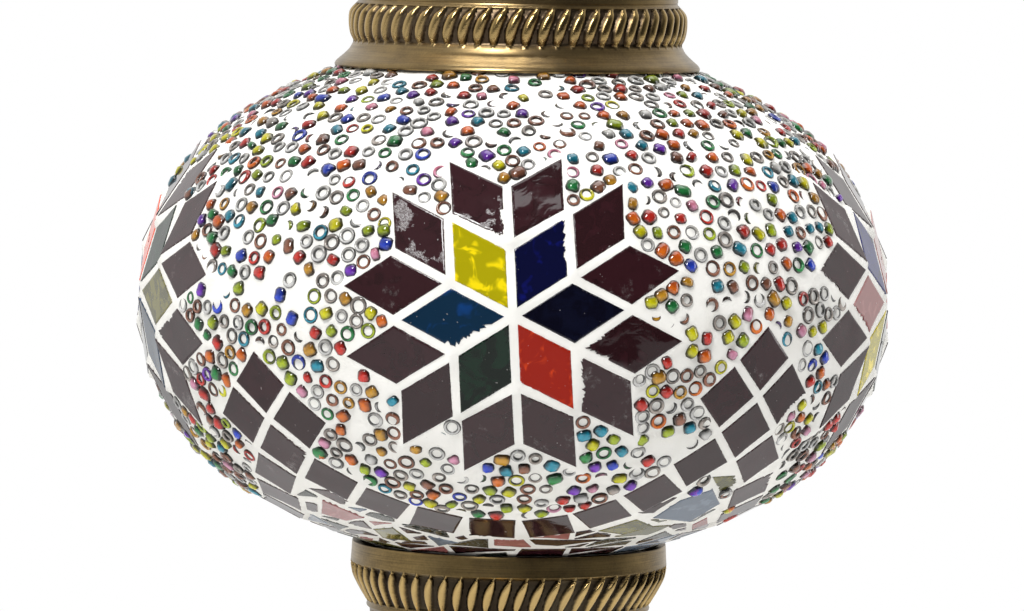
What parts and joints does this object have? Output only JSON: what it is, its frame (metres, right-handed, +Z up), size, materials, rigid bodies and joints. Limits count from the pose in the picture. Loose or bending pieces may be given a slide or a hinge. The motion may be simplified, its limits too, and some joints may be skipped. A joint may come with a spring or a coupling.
{
  "type": "mosaic glass table lamp",
  "caption": "Table lamp with a round mosaic glass globe clamped on a turned brass foot, and a lift-off pierced brass cap with a finial over the bulb.",
  "frame": {"origin": "centre of the underside of the foot, on the table", "axes": "+Z up along the lamp's axis, -Y towards the flower at the front"},
  "size_m": [0.1711, 0.1715, 0.3638],
  "materials": {
    "felt": "matt felt",
    "antique_brass": "antiqued, dark in the hollows",
    "plain_brass": "plain",
    "cast_iron": "rough cast",
    "zinc_steel": "zinc plated",
    "black_rubber": "matt",
    "clear_glass": "blown, clear",
    "grout": "matt white filler",
    "royal_blue_glass": "stained, glossy",
    "navy_glass": "stained, glossy",
    "orange_glass": "stained, glossy",
    "green_glass": "stained, glossy",
    "steel_blue_glass": "stained, glossy",
    "yellow_glass": "stained, glossy",
    "olive_glass": "stained, glossy",
    "pink_glass": "stained, frosted",
    "plum_glass": "stained, glossy, chipped at the edges",
    "dark_glass": "stained, crackled",
    "blue_grey_glass": "stained, frosted",
    "bulb_glass": "clear",
    "bulb_metal": "bright",
    "filament_yellow": "phosphor coated",
    "porcelain": "white glaze",
    "black_resin": "moulded"
  },
  "bodies": {
    "lamp": {"felt_pad": "felt", "base_shell": "antique_brass", "base_weight": "cast_iron", "base_washer": "zinc_steel", "base_nut": "zinc_steel", "cord_inlet_bush": "black_rubber", "lamp_pipe": "zinc_steel", "stem_foot_collar": "antique_brass", "stem_vase": "antique_brass", "stem_middle_collar": "antique_brass", "stem_neck": "antique_brass", "stem_top_collar": "antique_brass", "globe_cup": "antique_brass", "cup_spacer": "zinc_steel", "lower_glass_gasket": "black_rubber", "glass_globe": "clear_glass", "upper_glass_gasket": "black_rubber", "glass_washer": "zinc_steel", "glass_nut": "zinc_steel", "grout_coat": "grout", "petals_royal_blue": "royal_blue_glass", "petals_navy": "navy_glass", "petals_orange": "orange_glass", "petals_green": "green_glass", "petals_steel_blue": "steel_blue_glass", "petals_yellow": "yellow_glass", "petals_olive": "olive_glass", "petals_pink": "pink_glass", "flower_border_tiles": "plum_glass", "garland_peak_tiles": "plum_glass", "garland_arm_tiles": "plum_glass", "shards_pink": "pink_glass", "shards_olive": "olive_glass", "shards_dark": "dark_glass", "shards_blue_grey": "blue_grey_glass", "holder_cap": "black_resin", "holder_shell": "black_resin", "holder_core": "porcelain", "screw_shell": "plain_brass", "centre_contact": "plain_brass", "terminal_screws": "zinc_steel"},
    "bulb": {"bulb_glass": "bulb_glass", "bulb_cap": "bulb_metal", "bulb_insulator": "black_resin", "bulb_tip_contact": "bulb_metal", "bulb_stem": "bulb_glass", "bulb_filaments": "filament_yellow"},
    "cap": {"cap_collar": "antique_brass", "cap_dome": "antique_brass", "cap_clips": "plain_brass", "clip_rivets": "plain_brass", "finial_base": "antique_brass", "finial": "antique_brass", "finial_screw": "zinc_steel", "finial_nut": "zinc_steel"}
  },
  "joints": [
    {"name": "cap_lift", "type": "slide", "parent": "lamp", "child": "cap", "axis": [0, 0, 1], "range_m": [0, 0.06]},
    {"name": "bulb_lift", "type": "slide", "parent": "lamp", "child": "bulb", "axis": [0, 0, 1], "range_m": [0, 0.02]}
  ]
}
